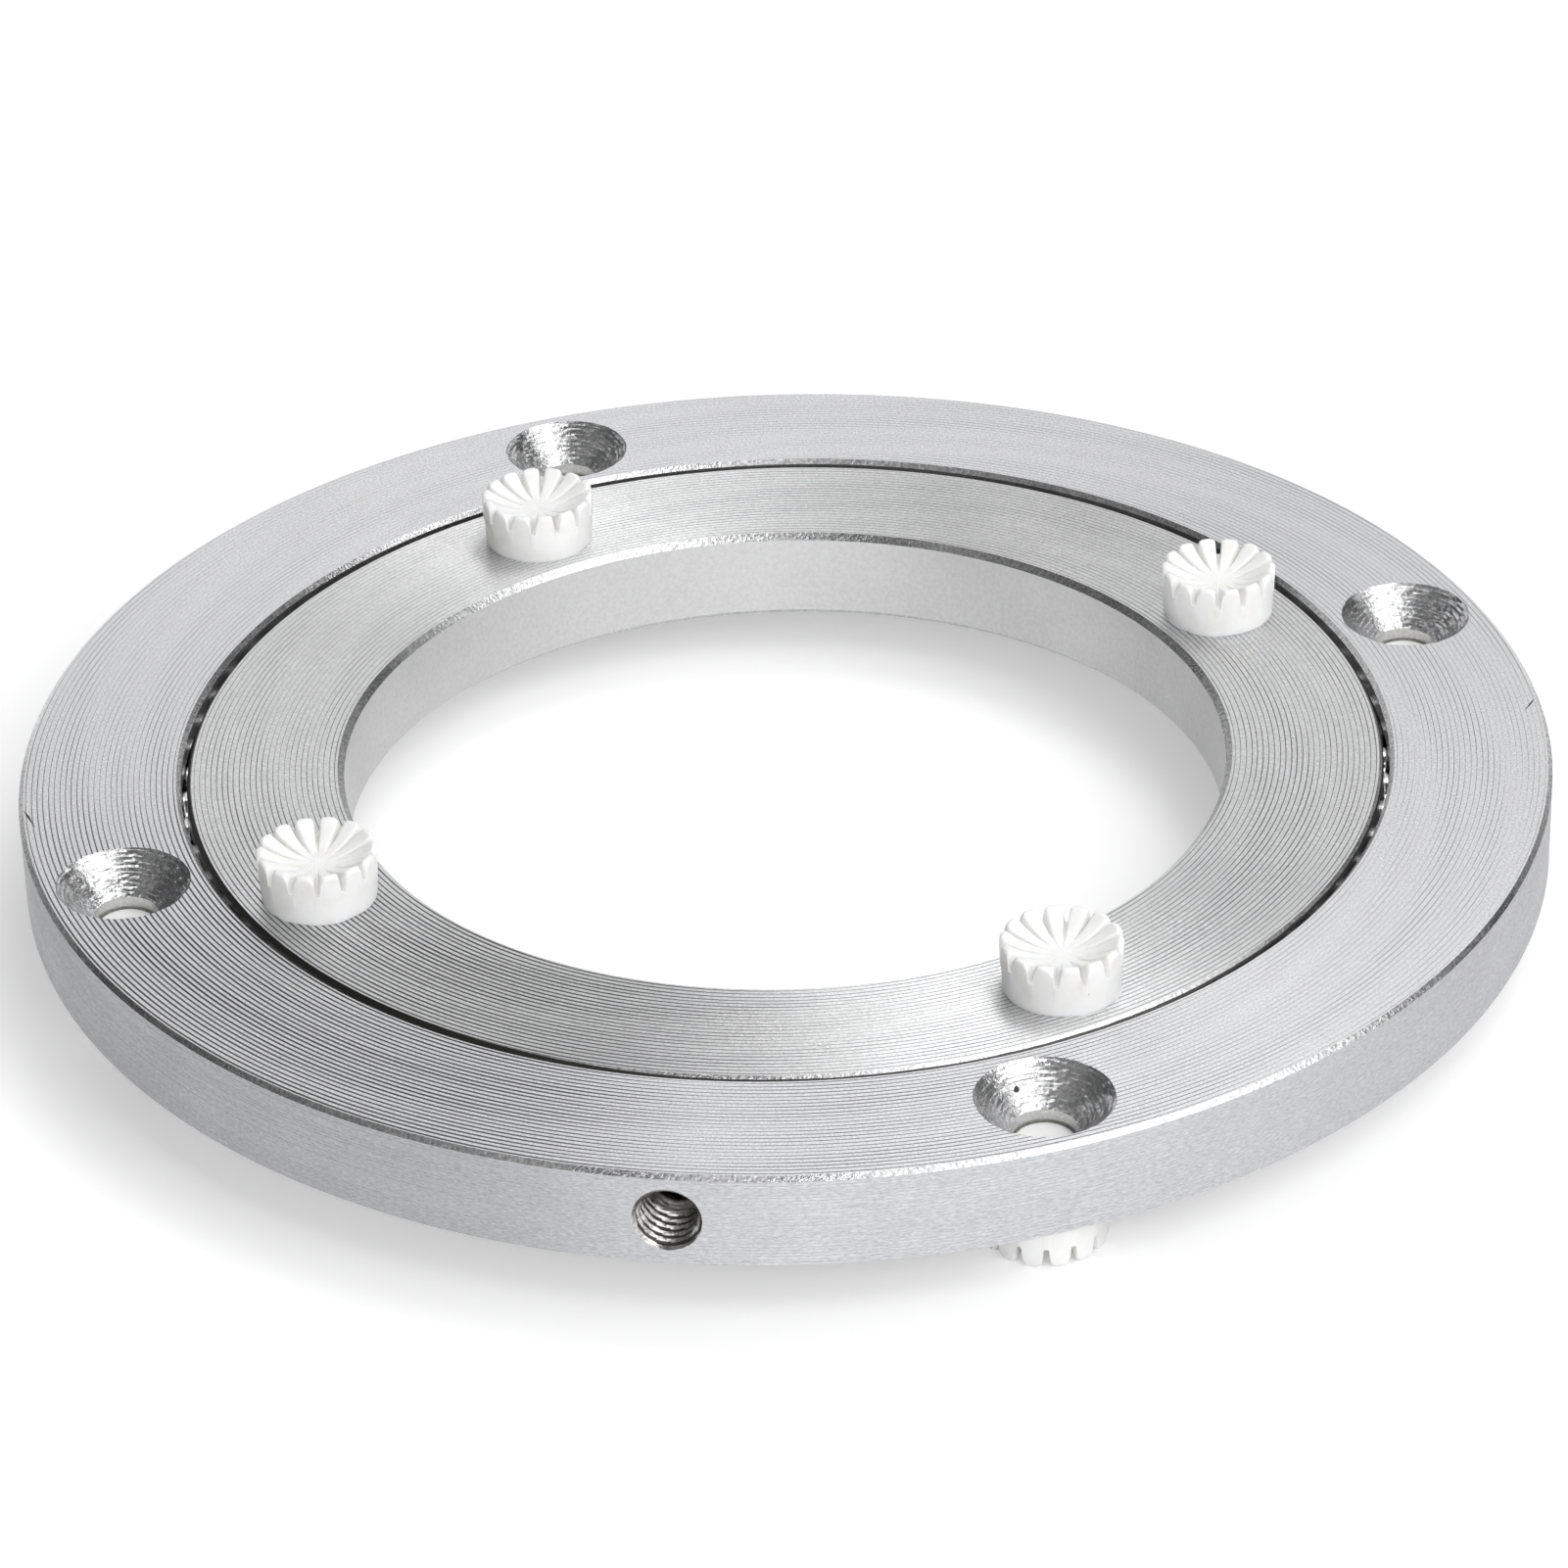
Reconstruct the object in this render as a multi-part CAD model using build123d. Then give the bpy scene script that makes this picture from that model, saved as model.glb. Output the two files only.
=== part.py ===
from build123d import *
from math import asin, ceil, cos, floor, pi, radians, sin, tan
import os

os.makedirs("parts", exist_ok=True)

# Frame: Z runs up the turning axis from the feet's lowest plane, X through the first screw hole
# Sizes of the two rings, in millimetres
outer_ring_diameter = 120.0
outer_ring_width = 12.6
inner_ring_width = 12.3
ring_gap = 0.47
ring_thickness = 7.6
inner_ring_drop = 0.25
inner_ring_turn = 9.8
face_edge_chamfer = 0.35
lower_rim_chamfer = 0.15
bore_edge_chamfer = 0.5

# Sizes of the balls and their running track
ball_diameter = 4.0
race_running_clearance = 0.025
ball_spacing_clearance = 0.05
ball_group_count = 12

# Sizes of the screw holes, four in each ring
hole_count = 4
screw_hole_diameter = 4.8
screw_hole_land = 0.85
countersink_diameter = 10.3
countersink_angle = 90.0
peg_pocket_diameter = 5.2

# Sizes of the moulded pad, used as four pads on top and four feet below
pad_height = 4.2
pad_base_diameter = 8.8
pad_rim_diameter = 9.2
pad_foot_chamfer = 0.12
rim_chamfer = 0.4
dish_depth = 1.3
dish_sag = 0.28
hub_diameter = 2.0
peg_side_clearance = 0.05
peg_end_clearance = 0.1
peg_tip_chamfer = 0.4

# How far each pad and foot happened to be twisted when it was pushed in, in degrees
pad_turns = (5.1, 17.9, 11.9, 14.3)
foot_turns = (9.2, 3.5, 16.0, 21.3)

# Sizes of the flutes between the petals of a pad, measured at its lip
flute_count = 14
flute_depth = 1.6
flute_floor_width = 0.22
flute_waist_width = 0.42
petal_round = 0.5
petal_round_steps = 2
petal_crown = 0.05

# Sizes of the filler hole for the balls and of the set screw that plugs it
filler_hole_diameter = 5.0
filler_hole_angle = -118.4
plug_side_clearance = 0.02
plug_length = 6.0
plug_setback = 0.3
plug_end_chamfer = 0.45
plug_cup_diameter = 2.4
hex_key_size = 2.5
hex_socket_depth = 2.6
hex_mouth_diameter = 3.4

# How far a cutter runs past the face that it starts from
overrun = 1.0

# What follows from those sizes
outer_radius = outer_ring_diameter / 2
outer_ring_inside = outer_radius - outer_ring_width
inner_ring_outside = outer_ring_inside - ring_gap
bore_radius = inner_ring_outside - inner_ring_width
ball_circle_radius = (outer_ring_inside + inner_ring_outside) / 2
ball_radius = ball_diameter / 2
race_radius = ball_radius + inner_ring_drop / 2 + race_running_clearance
hole_circle_radius = (outer_radius + outer_ring_inside) / 2
pad_circle_radius = (bore_radius + inner_ring_outside) / 2
outer_ring_base = pad_height
inner_ring_base = outer_ring_base - inner_ring_drop
inner_ring_top = inner_ring_base + ring_thickness
race_height = ring_thickness / 2
ball_height = (outer_ring_base + inner_ring_base) / 2 + race_height
cone_depth = (countersink_diameter - screw_hole_diameter) / 2 / tan(radians(countersink_angle / 2))
pocket_depth = ring_thickness - cone_depth - screw_hole_land
hole_angles = [360 / hole_count * i for i in range(hole_count)]


def polar(radius, angle, height):
    """Place something at a radius and angle round the turning axis, facing outwards."""
    return Rot(0, 0, angle) * Pos(radius, 0, height)


def rod(radius, length):
    """A round rod or drill that stands on the origin."""
    return Cylinder(radius, length, align=(Align.CENTER, Align.CENTER, Align.MIN))


def taper(low_radius, high_radius, length):
    """A cone or countersink that stands on the origin."""
    return Cone(low_radius, high_radius, length, align=(Align.CENTER, Align.CENTER, Align.MIN))


# Rings: each is turned from one section, with its half of the ball track in it
def turned_ring(corners):
    section = Plane.XZ * make_face(Polyline(corners, close=True))
    track = Plane.XZ * Pos(ball_circle_radius, race_height) * Circle(race_radius)
    return revolve(section - track, Axis.Z)


def outer_ring_blank():
    chamfer_in = outer_ring_inside + face_edge_chamfer
    return turned_ring(
        [
            (chamfer_in, 0),
            (outer_radius - lower_rim_chamfer, 0),
            (outer_radius, lower_rim_chamfer),
            (outer_radius, ring_thickness - face_edge_chamfer),
            (outer_radius - face_edge_chamfer, ring_thickness),
            (chamfer_in, ring_thickness),
            (outer_ring_inside, ring_thickness - face_edge_chamfer),
            (outer_ring_inside, face_edge_chamfer),
        ]
    )


def inner_ring_blank():
    chamfer_out = inner_ring_outside - face_edge_chamfer
    chamfer_bore = bore_radius + bore_edge_chamfer
    return turned_ring(
        [
            (chamfer_bore, 0),
            (chamfer_out, 0),
            (inner_ring_outside, face_edge_chamfer),
            (inner_ring_outside, ring_thickness - face_edge_chamfer),
            (chamfer_out, ring_thickness),
            (chamfer_bore, ring_thickness),
            (bore_radius, ring_thickness - bore_edge_chamfer),
            (bore_radius, bore_edge_chamfer),
        ]
    )


# Screw hole: countersunk from the top, with a wider pocket for a pad's peg below
def screw_hole():
    pocket = Pos(0, 0, -overrun) * rod(peg_pocket_diameter / 2, pocket_depth + overrun)
    shank = rod(screw_hole_diameter / 2, ring_thickness)
    cone_top = countersink_diameter / 2 + overrun * tan(radians(countersink_angle / 2))
    cone = taper(screw_hole_diameter / 2, cone_top, cone_depth + overrun)
    return pocket + shank + Pos(0, 0, ring_thickness - cone_depth) * cone


# Filler hole: drilled and tapped from the outside into the ball track
def filler_hole():
    length = outer_radius + overrun - ball_circle_radius
    bore = Rot(0, 90, 0) * rod(filler_hole_diameter / 2, length)
    return polar(ball_circle_radius, filler_hole_angle, race_height) * bore


def outer_ring():
    ring = outer_ring_blank() - filler_hole()
    for angle in hole_angles:
        ring -= polar(hole_circle_radius, angle, 0) * screw_hole()
    return Pos(0, 0, outer_ring_base) * ring


def inner_ring():
    ring = inner_ring_blank()
    turned_over = Pos(0, 0, ring_thickness) * Rot(180, 0, 0) * screw_hole()
    for angle in hole_angles:
        ring -= polar(pad_circle_radius, inner_ring_turn + angle, 0) * turned_over
    return Pos(0, 0, inner_ring_base) * ring


# Balls: one full row, as many as the track takes with a little play
def ball_count():
    pitch = ball_diameter + ball_spacing_clearance
    return floor(pi / asin(pitch / 2 / ball_circle_radius))


def ball_group(index):
    count = ball_count()
    first = ceil(count * index / ball_group_count)
    last = ceil(count * (index + 1) / ball_group_count)
    spots = [polar(ball_circle_radius, 360 / count * i, ball_height) for i in range(first, last)]
    return Compound(children=[spot * Sphere(ball_radius) for spot in spots])


# Pad: a dished button with petals, and a peg that pushes into a ring's pocket
def pad_body():
    base = pad_base_diameter / 2
    rim = pad_rim_diameter / 2
    hub = hub_diameter / 2
    hub_height = pad_height - dish_depth
    lip = rim - rim_chamfer
    corners = [
        (0, 0),
        (base - pad_foot_chamfer, 0),
        (base, pad_foot_chamfer),
        (rim, pad_height - rim_chamfer),
        (lip, pad_height),
        ((lip + hub) / 2 + dish_sag, (pad_height + hub_height) / 2 - dish_sag),
        (hub, hub_height),
        (0, hub_height),
    ]
    return revolve(Plane.XZ * make_face(Polyline(corners, close=True)), Axis.Z)


def flute_half():
    """One side of a flute at the lip: a steep wall that rounds over into the petal in short flats."""
    shoulder = pad_height + petal_crown - petal_round
    points = [(flute_floor_width / 2, pad_height - flute_depth)]
    for i in range(petal_round_steps + 1):
        turn = radians(90 * i / petal_round_steps)
        across = flute_waist_width / 2 + petal_round * (1 - cos(turn))
        points.append((across, shoulder + petal_round * sin(turn)))
    return points + [(points[-1][0], pad_height + overrun)]


def flute():
    """A groove that narrows from outside the rim towards the middle of the dish."""
    lip_radius = pad_rim_diameter / 2 - rim_chamfer
    hub_height = pad_height - dish_depth
    right = flute_half()
    left = [(-across, height) for across, height in reversed(right)]
    ends = []
    for radius in (hub_diameter / 2, pad_rim_diameter / 2 + overrun):
        size = radius / lip_radius
        ends.append([(radius, y * size, hub_height + (z - hub_height) * size) for y, z in right + left])
    inner, outer = ends
    sides = []
    for i in range(len(inner)):
        sides.append(Polyline(inner[i - 1], inner[i], outer[i], outer[i - 1], close=True))
    caps = [Polyline(corners, close=True) for corners in ends]
    return Solid(Shell([make_face(outline) for outline in sides + caps]))


def pad():
    body = pad_body()
    cutter = flute()
    for i in range(flute_count):
        body -= Rot(0, 0, 360 / flute_count * i) * cutter
    peg_radius = peg_pocket_diameter / 2 - peg_side_clearance
    peg = rod(peg_radius, pocket_depth - peg_end_clearance)
    peg = chamfer(peg.edges().group_by(Axis.Z)[-1], peg_tip_chamfer)
    return body + Rot(180, 0, 0) * peg


# Plug: a hexagon socket set screw that keeps the balls in, its inner end just clear of the track
def plug():
    inner_end = ball_circle_radius + race_radius + plug_setback
    screw = rod(filler_hole_diameter / 2 - plug_side_clearance, plug_length)
    screw = chamfer(screw.edges().filter_by(GeomType.CIRCLE), plug_end_chamfer)
    socket = extrude(RegularPolygon(hex_key_size / 2, 6, major_radius=False), hex_socket_depth)
    mouth_depth = (hex_mouth_diameter - hex_key_size) / 2
    mouth = taper(hex_key_size / 2, hex_mouth_diameter / 2, mouth_depth)
    cup = taper(plug_cup_diameter / 2, 0, plug_cup_diameter / 2)
    screw -= Pos(0, 0, plug_length - hex_socket_depth) * socket
    screw -= Pos(0, 0, plug_length - mouth_depth) * mouth
    screw -= cup
    height = outer_ring_base + race_height
    return polar(inner_end, filler_hole_angle, height) * Rot(0, 90, 0) * screw


# Write each piece to its own file
one_pad = pad()
export_step(outer_ring(), "parts/outer_ring.step")
export_step(inner_ring(), "parts/inner_ring.step")
export_step(plug(), "parts/filler_plug_screw.step")
for i, angle in enumerate(hole_angles):
    spot = polar(pad_circle_radius, inner_ring_turn + angle, inner_ring_top)
    export_step(spot * Rot(0, 0, pad_turns[i]) * one_pad, f"parts/top_pad_{i + 1}.step")
    spot = polar(hole_circle_radius, angle, outer_ring_base)
    export_step(spot * Rot(180, 0, foot_turns[i]) * one_pad, f"parts/foot_{i + 1}.step")
for i in range(ball_group_count):
    export_step(ball_group(i), f"parts/ball_group_{i + 1:02d}.step")
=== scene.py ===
from math import cos, pi, radians, sin, sqrt

import bpy
import numpy as np
from mathutils import Matrix, Vector


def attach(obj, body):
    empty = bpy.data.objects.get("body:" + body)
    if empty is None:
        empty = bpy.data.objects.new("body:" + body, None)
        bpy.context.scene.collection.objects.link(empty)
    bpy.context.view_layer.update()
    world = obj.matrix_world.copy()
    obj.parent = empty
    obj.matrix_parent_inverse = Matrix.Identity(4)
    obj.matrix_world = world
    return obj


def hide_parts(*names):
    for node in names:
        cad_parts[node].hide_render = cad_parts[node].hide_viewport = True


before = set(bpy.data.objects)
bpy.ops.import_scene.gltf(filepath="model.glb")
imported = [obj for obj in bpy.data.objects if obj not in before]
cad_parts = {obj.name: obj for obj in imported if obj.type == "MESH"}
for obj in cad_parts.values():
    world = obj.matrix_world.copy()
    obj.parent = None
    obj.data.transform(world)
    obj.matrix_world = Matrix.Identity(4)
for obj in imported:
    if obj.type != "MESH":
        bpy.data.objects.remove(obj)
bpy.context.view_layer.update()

# Camera
# A long lens a little under half a metre away, looking down at 31 degrees
# across the front of the ring and leaning over by less than two degrees.
camera_lens = bpy.data.cameras.new("photo_camera")
camera_lens.lens = 143.06
camera_lens.sensor_width = 36.0
camera_lens.clip_start = 0.01
camera_lens.clip_end = 20.0
camera = bpy.data.objects.new("photo_camera", camera_lens)
bpy.context.scene.collection.objects.link(camera)
camera.matrix_world = (
    Matrix.Translation((-0.14065, -0.39747, 0.26105))
    @ Matrix.Rotation(radians(-19.47), 4, "Z")
    @ Matrix.Rotation(radians(90 - 30.957), 4, "X")
    @ Matrix.Rotation(radians(-1.65), 4, "Z")
)
bpy.context.scene.camera = camera

# Outer ring
# Turned from aluminium on a lathe, so its faces carry fine rings from the tool.
# It was blasted and anodised after that, and then the screw holes were
# countersunk through the anodising, which leaves bare bright metal in them.
mm = 0.001
ring_height = 7.6
outer_base = 4.2
outer_top = outer_base + ring_height
outer_radius = 60.0
outer_inside = 47.4
face_bevel = 0.35
foot_bevel = 0.15
ball_circle = 47.165
race_radius = 2.15
race_steps = 15
groove_pitch = 0.43
groove_width = 0.18
groove_depth = 0.045
groove_wander = 0.07
wall_line_pitch = 0.26
wall_line_depth = 0.028
lathe_steps = 288
lathe = np.random.default_rng(7)

FACE, GROOVE, WALL, BEVEL, TRACK, GRIME_AND_SHADE = range(6)


def skin(name, rows, row_finish, materials, capped=False, cap_finish=0):
    """A closed skin through rows of points, in millimetres, each row once round the axis."""
    rows = np.asarray(rows, float) * mm
    count, steps, _ = rows.shape
    points = rows.reshape(-1, 3)
    here = np.arange(steps)
    there = (here + 1) % steps
    faces, finish = [], []
    for i in range(count - 1 if capped else count):
        a, b = i * steps, ((i + 1) % count) * steps
        faces += np.stack([a + here, a + there, b + there, b + here], 1).tolist()
        finish += np.broadcast_to(row_finish[i], steps).tolist()
    if capped:
        low, high = len(points), len(points) + 1
        points = np.vstack([points, rows[0].mean(0), rows[-1].mean(0)])
        top = (count - 1) * steps
        faces += [(low, int(b), int(a)) for a, b in zip(here, there)]
        faces += [(high, int(top + a), int(top + b)) for a, b in zip(here, there)]
        finish += [cap_finish] * (2 * steps)
    mesh = bpy.data.meshes.new(name)
    mesh.from_pydata(points.tolist(), [], faces)
    for material in materials:
        mesh.materials.append(material)
    mesh.polygons.foreach_set("material_index", finish)
    piece = bpy.data.objects.new(name, mesh)
    bpy.context.scene.collection.objects.link(piece)
    return piece


def once_round(steps):
    """Angles at even steps once round an axis."""
    return np.arange(steps) * 2 * pi / steps


def around(turn, radius, height):
    """One row of points; radius and height are one number, or one for each angle."""
    return np.stack([radius * np.cos(turn), radius * np.sin(turn), height + 0 * turn], 1)


def spin(outline, steps=lathe_steps):
    """Rows of points from an outline of (radius, height) corners."""
    return [around(once_round(steps), r, z) for r, z in outline]


def grooved(start, end, height, inward):
    """Corners of a faced surface between two radii, with the tool's rings cut inward."""
    count = int(abs(end - start) / groove_pitch)
    step = (end - start) / count
    side = groove_width / 2 * (1 if step > 0 else -1)
    corners = []
    for i in range(count):
        middle = start + step * (i + 0.5 + lathe.uniform(-0.05, 0.05))
        depth = groove_depth * lathe.uniform(0.75, 1.15)
        corners.append((middle - side, height, GROOVE))
        corners.append((middle, height + inward * depth, GROOVE))
        corners.append((middle + side, height, FACE))
    return corners


def worn_and_shaded_rings(rows, finish, height, places, boldness):
    """Lets the tool's rings in a top face run narrow and wide, as bold as given at each place;
    where they are bold, their near-black colour paints shade on the face.
    """
    turn = once_round(lathe_steps)
    phase = lathe.uniform(0, 2 * pi, 2)
    bold = np.interp(np.degrees(turn), places, boldness, period=360)
    for i in range(len(rows) - 2):
        if finish[i] == finish[i + 1] == GROOVE and abs(rows[i][0, 2] - height) < 0.01:
            r = rows[i][0, 0]
            slow = groove_wander * np.sin(3 * turn + phase[0] + 0.7 * r)
            quick = groove_wander * np.sin(13 * turn + phase[1] + 1.9 * r)
            share = np.maximum(bold + (slow + quick), 0.05)[:, None]
            middle = rows[i + 1] * (1, 1, 0) + (0, 0, height)
            for k in (i, i + 1, i + 2):
                rows[k] = middle + (rows[k] - middle) * share
    return rows


def lined(low, high, radius, pitch, depth, outward):
    """Corners of a turned wall from one height to another, in shallow lines."""
    count = int(abs(high - low) / pitch)
    heights = np.linspace(low, high, 2 * count + 1)
    wave = [0.0 if i % 2 == 0 else depth * lathe.uniform(0.4, 1.0) for i in range(len(heights))]
    return [(radius - outward * cut, z, WALL) for z, cut in zip(heights[:-1], wave)]


def race(inside, base, downward):
    """Corners of the ball track's half circle: down from its top edge with 1, or up with -1."""
    middle = base + ring_height / 2
    reach = sqrt(race_radius**2 - (inside - ball_circle) ** 2)
    half = np.arctan2(reach, abs(inside - ball_circle))
    side = 1 if inside > ball_circle else -1
    corners = []
    for t in np.linspace(half, -half, race_steps) * downward:
        r = ball_circle + side * race_radius * cos(t)
        corners.append((r, middle + race_radius * sin(t), TRACK))
    return corners


def feed(tree, value, socket):
    """Links a value into a socket, or sets the socket to a plain number or colour."""
    if isinstance(value, bpy.types.NodeSocket):
        tree.links.new(value, socket)
    else:
        socket.default_value = value


def bare_finish(name):
    """A new material, with its node tree and its shader."""
    made = bpy.data.materials.new(name)
    made.use_nodes = True
    return made, made.node_tree, made.node_tree.nodes["Principled BSDF"]


def place_on(tree):
    """The place on the piece, in metres."""
    return tree.nodes.new("ShaderNodeTexCoord").outputs["Object"]


def cloudy(tree, place, scale, detail=2.0, roughness=0.5):
    """A noise over the piece, from 0 to 1."""
    noise = tree.nodes.new("ShaderNodeTexNoise")
    noise.inputs["Scale"].default_value = scale
    noise.inputs["Detail"].default_value = detail
    noise.inputs["Roughness"].default_value = roughness
    tree.links.new(place, noise.inputs["Vector"])
    return noise.outputs["Fac"]


def ranged(tree, value, low, high, start=0.0, end=1.0):
    """A value that runs from start to end, brought to run from low to high."""
    span = tree.nodes.new("ShaderNodeMapRange")
    span.inputs["From Min"].default_value = start
    span.inputs["From Max"].default_value = end
    span.inputs["To Min"].default_value = low
    span.inputs["To Max"].default_value = high
    tree.links.new(value, span.inputs["Value"])
    return span.outputs["Result"]


def reckoned(tree, operation, first, second):
    """A value worked out from two others."""
    step = tree.nodes.new("ShaderNodeMath")
    step.operation = operation
    feed(tree, first, step.inputs[0])
    feed(tree, second, step.inputs[1])
    return step.outputs["Value"]


def toned(tree, value, start, dark, end, light):
    """A colour that is dark up to the start and light from the end on."""
    ramp = tree.nodes.new("ShaderNodeValToRGB")
    stops = ramp.color_ramp.elements
    stops[0].position = start
    stops[0].color = (*dark, 1)
    stops[1].position = end
    stops[1].color = (*light, 1)
    tree.links.new(value, ramp.inputs["Fac"])
    return ramp.outputs["Color"]


def blended(tree, share, under, over):
    """One colour going over into another as the share rises."""
    mix = tree.nodes.new("ShaderNodeMixRGB")
    tree.links.new(share, mix.inputs["Fac"])
    feed(tree, under, mix.inputs["Color1"])
    feed(tree, over, mix.inputs["Color2"])
    return mix.outputs["Color"]


def spotted(tree, place, under, spot_colour, spacing, radius, share):
    """A colour with small spots over it, in millimetres; share is how many of them are there."""
    cells = tree.nodes.new("ShaderNodeTexVoronoi")
    cells.inputs["Scale"].default_value = 1000 / spacing
    tree.links.new(place, cells.inputs["Vector"])
    edge = radius / spacing
    spot = ranged(tree, cells.outputs["Distance"], 0.0, 1.0, edge, edge * 0.7)
    chosen = reckoned(tree, "LESS_THAN", cells.outputs["Color"], share)
    there = reckoned(tree, "MULTIPLY", spot, chosen)
    return blended(tree, there, under, (*spot_colour, 1))


def bumped(tree, shader, value, strength, height):
    """Fine relief from a value, up to a height in millimetres."""
    relief = tree.nodes.new("ShaderNodeBump")
    relief.inputs["Strength"].default_value = strength
    relief.inputs["Distance"].default_value = height * mm
    tree.links.new(value, relief.inputs["Height"])
    tree.links.new(relief.outputs["Normal"], shader.inputs["Normal"])


def metal(
    name,
    colour,
    roughness,
    grain,
    bump,
    worn=0.0,
    anisotropy=0.0,
    speckle=0.12,
    pitted=0.04,
    drawn=None,
):
    """Metal with a fine grain as bump, and with roughness and tone that wander a little."""
    made, tree, shader = bare_finish(name)
    shader.inputs["Metallic"].default_value = 1.0
    place = place_on(tree)
    grain_place = place
    if drawn:
        stretch = tree.nodes.new("ShaderNodeMapping")
        stretch.inputs["Scale"].default_value = drawn
        tree.links.new(place, stretch.inputs["Vector"])
        grain_place = stretch.outputs["Vector"]
    fine = cloudy(tree, grain_place, grain, detail=3.0, roughness=0.65)
    dark = [c * (1 - speckle) for c in colour]
    light = [min(1.0, c * (1 + speckle)) for c in colour]
    tone = toned(tree, fine, 0.36, dark, 0.64, light)
    pit_colour = [c * 0.3 for c in colour]
    pits = spotted(tree, place, tone, pit_colour, 0.9, 0.09, pitted)
    feed(tree, pits, shader.inputs["Base Color"])
    broad = cloudy(tree, place, 90.0, detail=4.0)
    sheen = ranged(tree, broad, roughness - 0.05 - worn, roughness + 0.05 + worn, 0.3, 0.7)
    feed(tree, sheen, shader.inputs["Roughness"])
    bumped(tree, shader, fine, 1.0, bump)
    if anisotropy:
        shader.inputs["Anisotropic"].default_value = anisotropy
        shader.inputs["Anisotropic Rotation"].default_value = 0.25
        round_axis = tree.nodes.new("ShaderNodeTangent")
        round_axis.direction_type = "RADIAL"
        round_axis.axis = "Z"
        tree.links.new(round_axis.outputs["Tangent"], shader.inputs["Tangent"])
    return made


outer_face = metal(
    "faced_aluminium", (0.685, 0.685, 0.695), 0.39, 5500, 0.028, anisotropy=0.4, speckle=0.18
)
# The tool's rings are near black: painted shade for the dark lines their V-grooves show.
shaded_groove_metal = metal("tool_ring_painted_shade", (0.20, 0.20, 0.205), 0.50, 5500, 0.020)
wall_metal = metal(
    "turned_wall_aluminium",
    (0.575, 0.577, 0.587),
    0.60,
    6500,
    0.028,
    anisotropy=0.5,
    speckle=0.17,
    drawn=(0.35, 0.35, 2.2),
)
bevel_metal = metal(
    "bevel_aluminium", (0.60, 0.60, 0.605), 0.27, 3600, 0.060, worn=0.07, speckle=0.3, pitted=0.25
)
track_metal = metal("ball_track_aluminium", (0.62, 0.62, 0.62), 0.35, 4000, 0.004)
# Near-black metal for grease, burnt swarf and scratch lines, and for painted shade in the gap
# between the rings and deep in the tapped hole.
grime_and_shade_metal = metal("greasy_and_shaded_dark_aluminium", (0.07, 0.068, 0.065), 0.45, 5000, 0.020)
ring_metals = [outer_face, shaded_groove_metal, wall_metal, bevel_metal, track_metal, grime_and_shade_metal]

outline = grooved(outer_inside + face_bevel, outer_radius - foot_bevel, outer_base, 1)
outline.append((outer_radius - foot_bevel, outer_base, BEVEL))
wall_low, wall_high = outer_base + foot_bevel, outer_top - face_bevel
outline += lined(wall_low, wall_high, outer_radius, wall_line_pitch, wall_line_depth, 1)
outline.append((outer_radius, wall_high, BEVEL))
outline.append((outer_radius - face_bevel, outer_top, FACE))
outline += grooved(outer_radius - face_bevel, outer_inside + face_bevel, outer_top, -1)
outline.append((outer_inside + face_bevel, outer_top, BEVEL))
outline.append((outer_inside, outer_top - face_bevel, TRACK))
outline += race(outer_inside, outer_base, 1)
outline.append((outer_inside, outer_base + face_bevel, BEVEL))
outline.append((outer_inside + face_bevel, outer_base, FACE))
finish = [c[2] for c in outline]
# How bold the rings are at each angle, in degrees: partly how the real marks vary, partly painted
# shade, bolder where the face lies in shade.
places = [-170, -135, -128, -117, -105, -80, -70, -30, 20, 40, 120, 150, 165]
boldness = [1.05, 1.15, 1.0, 0.3, 0.6, 0.45, 0.2, 0.15, 0.3, 0.15, 0.1, 0.2, 0.3]
rows = worn_and_shaded_rings(spin([c[:2] for c in outline]), finish, outer_top, places, boldness)
outer = skin("outer_ring_turned", rows, finish, ring_metals)

# Screw holes
# Each is drilled through, drilled wider from behind for the peg, and countersunk
# last. The countersink chattered, so its cone is a heap of short wavy steps of
# bare metal with a ragged rim.
hole_circle = 53.7
screw_radius = 2.4
peg_radius = 2.6
pocket_depth = 4.0
cone_start = 4.85
cone_rows = 36
cone_steps = 120
chatter_pitch = 0.30
chatter_wave = 0.032
chatter_noise = 0.047
overrun = 1.0

CUT, BORE = range(2)
cut_metal = metal(
    "fresh_cut_aluminium", (0.64, 0.64, 0.645), 0.25, 3800, 0.048, worn=0.05, speckle=0.22
)
bore_metal = metal("drilled_aluminium", (0.70, 0.70, 0.69), 0.40, 4000, 0.008)


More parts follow.
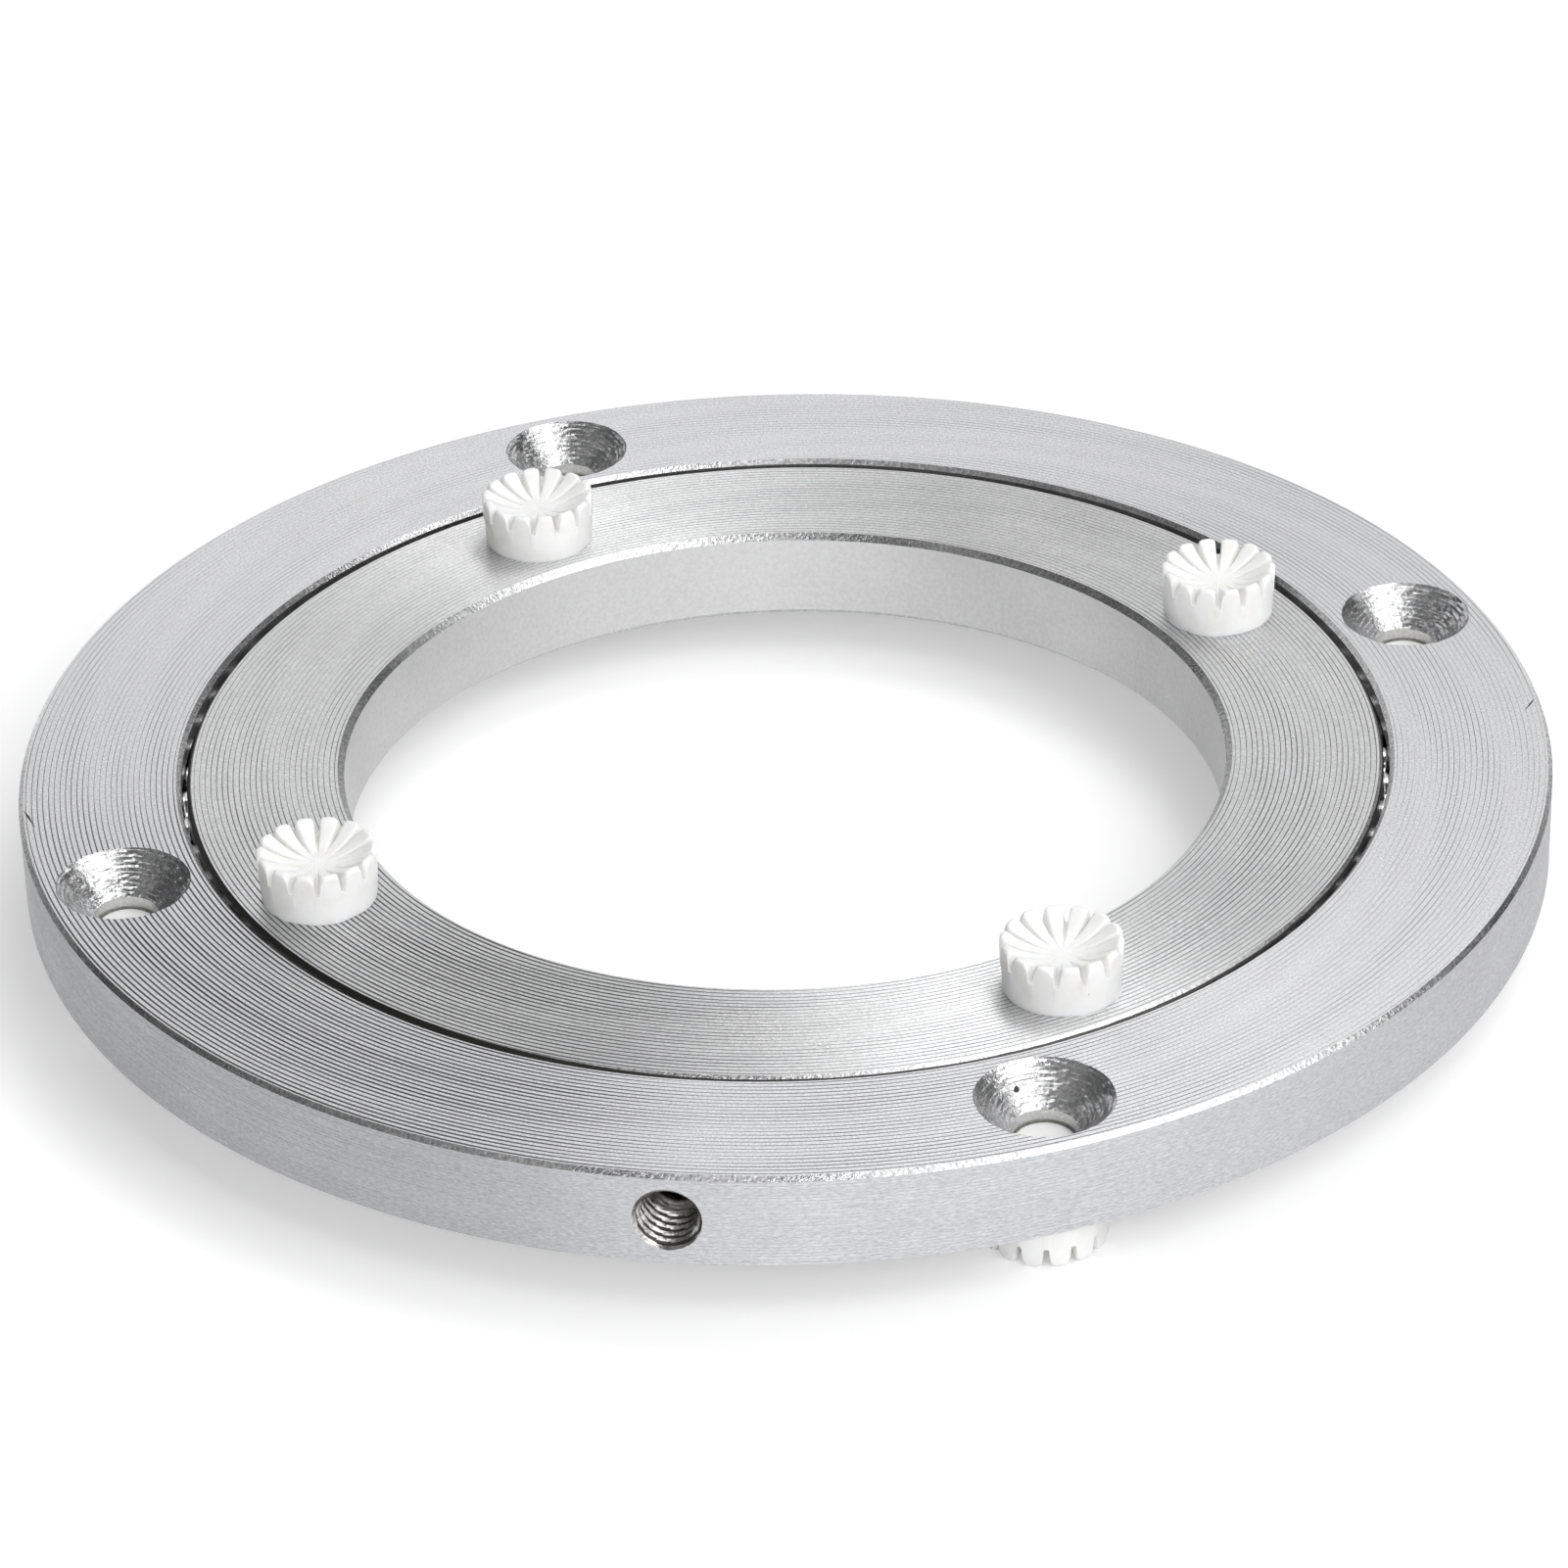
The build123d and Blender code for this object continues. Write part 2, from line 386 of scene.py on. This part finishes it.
def countersink_tool(name, seed):
    """A stepped drill and chattering countersink, standing on the ring's lower face."""
    chatter = np.random.default_rng(seed)
    turn = once_round(cone_steps)
    phase = chatter.uniform(0, 2 * pi, 6)
    pocket = [(peg_radius, -overrun), (peg_radius, pocket_depth)]
    rows = spin(pocket + [(screw_radius, pocket_depth), (screw_radius, cone_start)], cone_steps)
    finish = [BORE, BORE, BORE, CUT]
    rough = chatter.normal(0, 1, (cone_rows, cone_steps))
    rough = (rough + np.roll(rough, 1, 1) + np.roll(rough, 2, 1) + np.roll(rough, 1, 0)) / 4
    sway = 0
    for size, waves, start in zip((1.6, 0.9, 0.5), (2, 5, 11), phase):
        sway = sway + size * np.sin(waves * turn + start)
    heights = np.linspace(cone_start + 0.05, ring_height + 0.35, cone_rows)
    for i, z in enumerate(heights):
        wave = np.sin(2 * pi * z / chatter_pitch + sway)
        patch = 0.8 + 0.2 * np.sin(3 * turn + phase[3] + 1.5 * z)
        cone = screw_radius + (z - cone_start)
        r = cone + chatter_wave * wave * patch + chatter_noise * rough[i]
        rows.append(around(turn, r, z))
        finish.append(CUT)
    top = ring_height + overrun
    rows += spin([(screw_radius + top - cone_start, top)], cone_steps)
    return skin(name, rows, finish, [cut_metal, bore_metal], capped=True, cap_finish=BORE)


def stand(piece, radius, angle, height, *turns):
    """Moves a piece from the axis to its place on a ring, after the turns given."""
    place = Matrix.Rotation(radians(angle), 4, "Z")
    place = place @ Matrix.Translation((radius * mm, 0, height * mm))
    for turn in turns:
        place = place @ turn
    piece.data.transform(place)


tools = []
for i in range(4):
    tool = countersink_tool(f"countersink_{i + 1}", 20 + i)
    stand(tool, hole_circle, 90 * i, outer_base)
    tools.append(tool)

# Filler hole
# Drilled from the side into the track and tapped M5. The balls go in here, and
# the thread is cut as far as the set screw, which fills the rest of it.
filler_angle = -118.4
filler_height = outer_base + ring_height / 2
thread_pitch = 0.8
thread_root = 2.5
thread_crest = 2.13
thread_start = 55.66
thread_steps = 96
thread_slice = 0.06
mouth_radius = thread_root + 0.1
mouth_slope = 0.9
ring_crease = 16

THREAD, PLAIN, DEEP_SHADE = range(3)
thread_metal = metal(
    "tapped_aluminium", (0.50, 0.49, 0.48), 0.25, 3000, 0.030, worn=0.06, speckle=0.3
)


def tap_tool():
    """The tapped hole's cutter, standing on the ball circle and pointing outwards."""
    turn = once_round(thread_steps)
    rows = spin([(thread_root, 0), (thread_root, thread_start - ball_circle)], thread_steps)
    finish = [PLAIN, DEEP_SHADE]
    top = outer_radius - ball_circle
    for s in np.arange(thread_start - ball_circle + 0.02, top + 0.35, thread_slice):
        part = (s / thread_pitch - turn / (2 * pi)) % 1.0
        cut = np.clip(1.35 - 2.7 * np.abs(part - 0.5) - 0.12, 0, 1)
        r = thread_crest + (thread_root - thread_crest) * cut
        opened = mouth_radius - (top - s) * mouth_slope
        r = np.maximum(r, min(opened, mouth_radius))
        rows.append(around(turn, r, s))
        # Thread roots away from the mouth are near black: painted shade deep in the hole.
        finish.append(np.where((cut > 0.45) & (s < top - 0.3), DEEP_SHADE, THREAD))
    rows += spin([(mouth_radius, top + overrun)], thread_steps)
    finish.append(THREAD)
    metals = [thread_metal, bore_metal, grime_and_shade_metal]
    return skin("tap", rows, finish, metals, capped=True, cap_finish=PLAIN)


def smooth(piece, crease):
    """Smooth shading, kept sharp where faces meet at more than the crease angle."""
    piece.data.shade_smooth()
    piece.data.set_sharp_from_angle(angle=radians(crease))


def drilled(piece, tools):
    """Cuts the joined tools out of a ring; the cut faces keep the tools' finishes."""
    with bpy.context.temp_override(active_object=tools[0], selected_editable_objects=tools):
        bpy.ops.object.join()
    cut = piece.modifiers.new("drilled", "BOOLEAN")
    cut.object = tools[0]
    cut.operation = "DIFFERENCE"
    cut.solver = "EXACT"
    cut.material_mode = "TRANSFER"
    shown = piece.evaluated_get(bpy.context.evaluated_depsgraph_get())
    mesh = bpy.data.meshes.new_from_object(shown)
    piece.modifiers.clear()
    piece.data = mesh
    bpy.data.objects.remove(tools[0])
    smooth(piece, ring_crease)


tap = tap_tool()
stand(tap, ball_circle, filler_angle, filler_height, Matrix.Rotation(radians(90), 4, "Y"))
drilled(outer, tools + [tap])
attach(outer, "fixed_ring")
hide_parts("outer_ring")

# Nicks
# Two short scratches in the outer ring's top face, close to the rim. Something
# hard slid over the aluminium, sank a dark line and pushed metal up beside it.
nick_steps = 7

SUNK, RAISED = range(2)


def nick(name, start, end, width):
    """A nick in the top face between two places, each given as a radius and an angle."""
    a, b = (np.array([r * cos(radians(t)), r * sin(radians(t))]) for r, t in (start, end))
    along = b - a
    across = np.array([-along[1], along[0]]) / np.hypot(*along) * width
    wobble = np.random.default_rng(3).uniform(0.6, 1.2, nick_steps)
    rows = []
    for i, share in enumerate(np.linspace(0, 1, nick_steps)):
        taper = sin(pi * (0.08 + 0.84 * share))
        section = [(2.4, 0), (1.6, 0.035 * taper), (1, 0.004), (-1, 0), (0.7, -0.02)]
        half = across * wobble[i] * taper
        rows.append([(*(a + along * share + half * out), outer_top + up) for out, up in section])
    finish = [[RAISED, RAISED, SUNK, RAISED, RAISED]] * nick_steps
    mark = skin(name, rows, finish, [grime_and_shade_metal, cut_metal], capped=True, cap_finish=RAISED)
    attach(mark, "fixed_ring")


nick("nick_left", (59.6, -192.9), (58.9, -190.4), 0.07)
nick("nick_right", (59.5, -15.9), (58.5, -17.5), 0.05)

# Swarf
# Two crumbs of burnt aluminium that the countersink cut off and left behind.
# They lie on the cone of the front screw hole, held there by the oil.
crumb_steps = 9
crumb_lean = 50


def swarf(name, centre, size, seed):
    """A lumpy crumb, half as high as it is wide."""
    crumb = np.random.default_rng(seed)
    rows = []
    for lift in (-1.2, -0.7, 0.0, 0.7, 1.2):
        r = size * cos(lift) * crumb.uniform(0.75, 1.25, crumb_steps)
        rows.append(around(once_round(crumb_steps), r, 0.5 * size * sin(lift)))
    bit = skin(name, rows, [0] * len(rows), [grime_and_shade_metal], capped=True)
    lean = Matrix.Rotation(radians(crumb_lean), 4, "X")
    bit.data.transform(Matrix.Translation(Vector(centre) * mm) @ lean)
    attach(bit, "fixed_ring")


swarf("swarf_crumb_1", (-0.70, -50.06, 10.36), 0.24, 1)
swarf("swarf_crumb_2", (3.59, -53.70, 9.65), 0.11, 2)

# Inner ring
# The same stock and the same tool marks, with a smooth bored hole in the middle.
# It hangs a quarter of a millimetre lower, by the play in its ball track. Its outer wall above
# the track and its outer bevel are near black: partly grease from the track, partly painted shade
# of the gap between the rings, reaching highest up the bevel on the front left, the side in
# shade.
inner_base = 3.95
inner_top = inner_base + ring_height
inner_outside = 46.93
inner_turn = 9.8
bore_radius = 34.63
bore_bevel = 0.5
bore_line_pitch = 0.3
bore_line_depth = 0.003
pad_circle = 40.78
least_climb = 0.4
most_climb = 0.96
darkest_side = 196

outline = [(bore_radius + bore_bevel, inner_base, FACE)]
outline += grooved(bore_radius + bore_bevel, inner_outside - face_bevel, inner_base, 1)
outline.append((inner_outside - face_bevel, inner_base, BEVEL))
outline.append((inner_outside, inner_base + face_bevel, WALL))
outline += race(inner_outside, inner_base, -1)
# Near black above the track: grease, and painted shade of the gap between the rings.
outline.append((inner_outside, inner_top - face_bevel, GRIME_AND_SHADE))
grease_and_shade_edge = len(outline)
outline.append((inner_outside, inner_top, BEVEL))
outline.append((inner_outside - face_bevel, inner_top, FACE))
outline += grooved(inner_outside - face_bevel, bore_radius + bore_bevel, inner_top, -1)
outline.append((bore_radius + bore_bevel, inner_top, BEVEL))
bore_low, bore_high = inner_base + bore_bevel, inner_top - bore_bevel
outline += lined(bore_high, bore_low, bore_radius, bore_line_pitch, bore_line_depth, -1)
outline.append((bore_radius, bore_low, BEVEL))
finish = [c[2] for c in outline]
# How bold the rings are at each angle, in degrees: partly how the real marks vary, partly painted
# shade, bolder where the face lies in shade.
places = [-165, -150, -130, -118, -105, -80, -70, -55, -25, 40, 70, 110, 150, 170]
boldness = [0.9, 1.1, 0.95, 0.6, 0.3, 0.5, 0.5, 0.5, 0.35, 0.27, 0.4, 0.2, 0.25, 0.35]
rows = worn_and_shaded_rings(spin([c[:2] for c in outline]), finish, inner_top, places, boldness)
# The near-black band climbs the outer bevel most on the front left: painted shade of that side,
# partly grease.
turn = once_round(lathe_steps)
aside = np.abs(np.degrees(turn) - darkest_side)
climb = np.interp(aside, [20, 48], [most_climb, least_climb])
climb = climb + lathe.uniform(-0.04, 0.04, lathe_steps)
rows[grease_and_shade_edge] = around(
    turn, inner_outside - face_bevel * climb, inner_top - face_bevel * (1 - climb)
)
inner_face = metal(
    "streaky_faced_aluminium",
    (0.71, 0.71, 0.715),
    0.31,
    5500,
    0.016,
    anisotropy=0.92,
    speckle=0.16,
)
bored = metal(
    "bored_aluminium",
    (0.62, 0.62, 0.625),
    0.52,
    3000,
    0.006,
    anisotropy=0.5,
    speckle=0.05,
    pitted=0.02,
)
inner_metals = [inner_face, shaded_groove_metal, bored, bevel_metal, track_metal, grime_and_shade_metal]
inner = skin("inner_ring_turned", rows, finish, inner_metals)

upside_down = Matrix.Rotation(pi, 4, "X")
tools = []
for i in range(4):
    tool = countersink_tool(f"under_countersink_{i + 1}", 30 + i)
    stand(tool, pad_circle, inner_turn + 90 * i, inner_top, upside_down)
    tools.append(tool)
drilled(inner, tools)
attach(inner, "turning_ring")
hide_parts("inner_ring")

# Pads and feet
# One moulding of soft white nylon, eight times: a dished button with fourteen
# petals and a peg, pushed into the holes by hand, each turned as it happened.
petal_count = 14
pad_height = 4.2
pad_base = 4.4
pad_rim = 4.6
dish_depth = 1.3
hub_radius = 1.25
hub_height = pad_height - dish_depth
hub_sink = 0.04
lip_radius = 4.2
rim_round = 0.28
flute_depth = 1.6
flute_tail = 0.05
petal_droop = 0.04
petal_crease = 40
peg_length = 3.9
peg_side = 2.55
pad_turns = (5.1, 17.9, 11.9, 14.3)
foot_turns = (9.2, 3.5, 16.0, 21.3)


def white_nylon():
    """Milky nylon that lets light a little way in, with an uneven skin and brown specks."""
    made, tree, shader = bare_finish("white_nylon")
    shader.inputs["Subsurface Weight"].default_value = 0.45
    shader.inputs["Subsurface Radius"].default_value = (1.0, 0.95, 0.85)
    shader.inputs["Subsurface Scale"].default_value = 0.0009
    place = place_on(tree)
    cloud = cloudy(tree, place, 600.0, detail=5.0)
    tint = toned(tree, cloud, 0.25, (0.88, 0.87, 0.855), 0.55, (0.94, 0.94, 0.93))
    specks = spotted(tree, place, tint, (0.42, 0.34, 0.26), 0.8, 0.055, 0.20)
    feed(tree, specks, shader.inputs["Base Color"])
    feed(tree, ranged(tree, cloud, 0.30, 0.50), shader.inputs["Roughness"])
    bumped(tree, shader, cloud, 0.6, 0.02)
    return made


nylon = white_nylon()


def flute_cut(across, opened):
    """How deep a flute is, from 0 to 1, to one side of its middle; it opens out to the rim."""
    sides = [0.0, 0.10, 0.15, 0.18, 0.20, 0.22, 0.25, 0.30, 0.40, 0.53, 0.66]
    at_lip = [1.0, 0.99, 0.96, 0.85, 0.60, 0.34, 0.17, 0.07, 0.025, 0.008, 0.0]
    at_rim = [1.0, 0.99, 0.97, 0.90, 0.78, 0.64, 0.48, 0.31, 0.14, 0.045, 0.0]
    narrow, wide = np.interp(across, sides, at_lip), np.interp(across, sides, at_rim)
    return narrow * (1 - opened) + wide * opened


def petal_lines():
    """Angles round one petal pitch, close together where the flute's sides are steep."""
    sides = [0.05, 0.10, 0.13, 0.15, 0.165, 0.18, 0.20, 0.22, 0.25, 0.30, 0.40, 0.53, 0.66]
    half = [a / lip_radius for a in sides]
    return [-a for a in reversed(half)] + [0.0] + half + [pi / petal_count]


def petal_top(r):
    """Height of the petals at a radius: a dish inside the lip, a rounded edge outside it."""
    if r >= lip_radius:
        out = (r - lip_radius) / (pad_rim - lip_radius)
        return pad_height - rim_round * (1 - max(0.0, 1 - out**3) ** (1 / 3))
    if r <= hub_radius:
        return hub_height
    t = (r - hub_radius) / (lip_radius - hub_radius)
    return hub_height + dish_depth * (0.35 * t + 0.65 * t**2.0)


def pad_rows(mould):
    """Rows of one moulding from the peg's end up, over the rim and in to the hub."""
    lines = petal_lines()
    pitch = 2 * pi / petal_count
    turn = np.array([k * pitch + a for k in range(petal_count) for a in lines])
    across = np.array([abs(a) * lip_radius for k in range(petal_count) for a in lines])
    droop = np.repeat(-petal_droop * mould.random(petal_count), len(lines))
    long_wave = np.sin(2 * turn + mould.uniform(0, 6))
    short_wave = np.sin(7 * turn + mould.uniform(0, 6))
    flash = np.clip(long_wave + 0.5 * short_wave, 0, 1)
    rows = [
        around(turn, peg_side - 0.4, -peg_length),
        around(turn, peg_side - 0.12, -peg_length + 0.24),
        around(turn, peg_side, -peg_length + 0.42),
        around(turn, peg_side, 0),
        around(turn, pad_base - 0.14, 0),
        around(turn, pad_base - 0.02 + 0.15 * flash, 0.01),
        around(turn, pad_base - 0.02 + 0.14 * flash, 0.05),
        around(turn, pad_base - 0.01, 0.09),
        around(turn, pad_base, 0.18),
    ]
    for share in (0.2, 0.4):
        rows.append(around(turn, pad_base + (pad_rim - pad_base) * share, pad_height * share))
    radii = [pad_rim - back for back in (0, 0.012, 0.05, 0.12, 0.22, 0.32)] + [lip_radius]
    radii += list(np.linspace(lip_radius - 0.15, hub_radius, 13))
    lip_floor = pad_height - flute_depth
    for r in radii:
        inward = max(0.0, lip_radius - r) / (lip_radius - hub_radius)
        floor = lip_floor + (hub_height - pad_height + flute_depth) * inward
        outward = max(0.0, (r - lip_radius) / (pad_rim - lip_radius))
        cut = flute_cut(across, outward**1.5)
        fade = min(1.0, max(0.0, (r - 1.5) / 2.0))
        top = petal_top(r)
        z = top - (top - floor) * cut + droop * fade * (1 - cut)
        if r == pad_rim:
            rows.append(around(turn, pad_rim - 0.01, z - 0.25))
            rows.append(around(turn, pad_rim - 0.002, z - 0.04))
        rows.append(around(turn, r, z))
    for r in (0.75, 0.4, 0.15):
        dip = flute_tail * r / hub_radius
        rows.append(around(turn, r, hub_height - dip * cut - hub_sink * (1 - r / hub_radius)))
    return rows


def moulding(name, seed):
    """One moulding, standing on the origin with its peg down."""
    rows = pad_rows(np.random.default_rng(seed))
    return skin(name, rows, [0] * len(rows), [nylon], capped=True)


for i in range(4):
    pad = moulding(f"pad_moulding_{i + 1}", 50 + i)
    twist = Matrix.Rotation(radians(pad_turns[i]), 4, "Z")
    stand(pad, pad_circle, inner_turn + 90 * i, inner_top, twist)
    smooth(pad, petal_crease)
    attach(pad, "turning_ring")
    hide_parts(f"top_pad_{i + 1}")
for i in range(4):
    foot = moulding(f"foot_moulding_{i + 1}", 54 + i)
    twist = Matrix.Rotation(radians(foot_turns[i]), 4, "Z")
    stand(foot, hole_circle, 90 * i, outer_base, upside_down, twist)
    smooth(foot, petal_crease)
    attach(foot, "fixed_ring")
    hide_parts(f"foot_{i + 1}")

# Balls
# Seventy-three hard chrome steel balls, ground and polished, touching nearly all
# the way round. Only their glints show in the gap between the rings.
ball_steel, tree, shader = bare_finish("polished_ball_steel")
shader.inputs["Metallic"].default_value = 1.0
film = cloudy(tree, place_on(tree), 700.0)
feed(tree, ranged(tree, film, 0.06, 0.20), shader.inputs["Roughness"])
steel_tone = blended(tree, film, (0.70, 0.70, 0.71, 1), (0.82, 0.81, 0.80, 1))
feed(tree, steel_tone, shader.inputs["Base Color"])
for i in range(12):
    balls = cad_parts[f"ball_group_{i + 1:02d}"]
    balls.data.materials.clear()
    balls.data.materials.append(ball_steel)

# Filler plug
# A stock M5 set screw with a hexagon socket, screwed in below the mouth of the tapped hole. Plain
# steel with a film of oil; inside the socket it is painted near black, partly oil and partly
# painted shade of the deep socket.
socket_edge = 1.45
bare_edge = 1.65
plug_steel = metal("oiled_steel_shaded_socket", (0.82, 0.80, 0.77), 0.32, 2500, 0.020, worn=0.08, speckle=0.3)
tree = plug_steel.node_tree


def vector_step(operation, first, second=(0, 0, 0)):
    """One step of reckoning with places in the plug's material."""
    step = tree.nodes.new("ShaderNodeVectorMath")
    step.operation = operation
    feed(tree, first, step.inputs[0])
    feed(tree, second, step.inputs[1])
    return step.outputs["Value" if operation == "LENGTH" else "Vector"]


plug_axis = (cos(radians(filler_angle)), sin(radians(filler_angle)), 0)
from_middle = vector_step("SUBTRACT", place_on(tree), (0, 0, filler_height * mm))
off_axis = vector_step("LENGTH", vector_step("CROSS_PRODUCT", from_middle, plug_axis))
outside_socket = ranged(tree, off_axis, 0.0, 1.0, socket_edge * mm, bare_edge * mm)
plug_colour = tree.nodes["Principled BSDF"].inputs["Base Color"]
bare_steel = plug_colour.links[0].from_socket
# Near black inside the socket: oil, and painted shade of the socket's depth.
feed(tree, blended(tree, outside_socket, (0.035, 0.027, 0.020, 1), bare_steel), plug_colour)
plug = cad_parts["filler_plug_screw"]
plug.data.materials.clear()
plug.data.materials.append(plug_steel)

# Floor and light
# A plain pale table under six soft lights: right and left of the camera, behind,
# overhead, in front and low at the front, in an even pale room. The table glows a
# little where the camera or a reflection sees it, so that it comes out white.
floor_reach = 4
floor_glow = 0.30
corners = [(x * floor_reach, y * floor_reach, 0) for x, y in ((-1, -1), (1, -1), (1, 1), (-1, 1))]
floor_mesh = bpy.data.meshes.new("floor")
floor_mesh.from_pydata(corners, [], [(0, 1, 2, 3)])
floor = bpy.data.objects.new("floor", floor_mesh)
bpy.context.scene.collection.objects.link(floor)
floor_paint, tree, shader = bare_finish("pale_floor")
shader.inputs["Base Color"].default_value = (0.85, 0.85, 0.85, 1)
shader.inputs["Roughness"].default_value = 0.9
shader.inputs["Specular IOR Level"].default_value = 0.1
shader.inputs["Emission Color"].default_value = (1, 1, 1, 1)
seen = tree.nodes.new("ShaderNodeLightPath").outputs
either = reckoned(tree, "MAXIMUM", seen["Is Camera Ray"], seen["Is Glossy Ray"])
any_of = reckoned(tree, "MAXIMUM", either, seen["Is Transmission Ray"])
feed(tree, reckoned(tree, "MULTIPLY", any_of, floor_glow), shader.inputs["Emission Strength"])
floor_mesh.materials.append(floor_paint)


def softbox(name, azimuth, elevation, distance, size, power):
    """A square soft light that looks at the origin; angles in degrees, sizes in metres."""
    lamp = bpy.data.lights.new(name, "AREA")
    lamp.shape = "SQUARE"
    lamp.size = size
    lamp.energy = power
    holder = bpy.data.objects.new(name, lamp)
    bpy.context.scene.collection.objects.link(holder)
    a, e = radians(azimuth), radians(elevation)
    spot = Vector((cos(a) * cos(e), sin(a) * cos(e), sin(e)))
    holder.location = spot * distance
    holder.rotation_euler = spot.to_track_quat("Z", "Y").to_euler()


softbox("right_softbox", -49, 50, 0.8, 0.7, 3.8)
softbox("left_softbox", -171.5, 45, 0.8, 0.6, 0.22)
softbox("back_softbox", 72, 36, 1.0, 1.4, 4.9)
softbox("overhead_softbox", 42, 65, 1.0, 0.4, 1.95)
softbox("front_softbox", -109, 20, 1.0, 0.9, 5.8)
softbox("low_softbox", -59.5, 8, 1.0, 0.6, 1.4)
room = bpy.data.worlds.new("pale_room")
room.use_nodes = True
background = room.node_tree.nodes["Background"]
background.inputs["Color"].default_value = (0.97, 0.98, 1.0, 1)
background.inputs["Strength"].default_value = 0.08
bpy.context.scene.world = room
bpy.context.scene.view_settings.view_transform = "Standard"
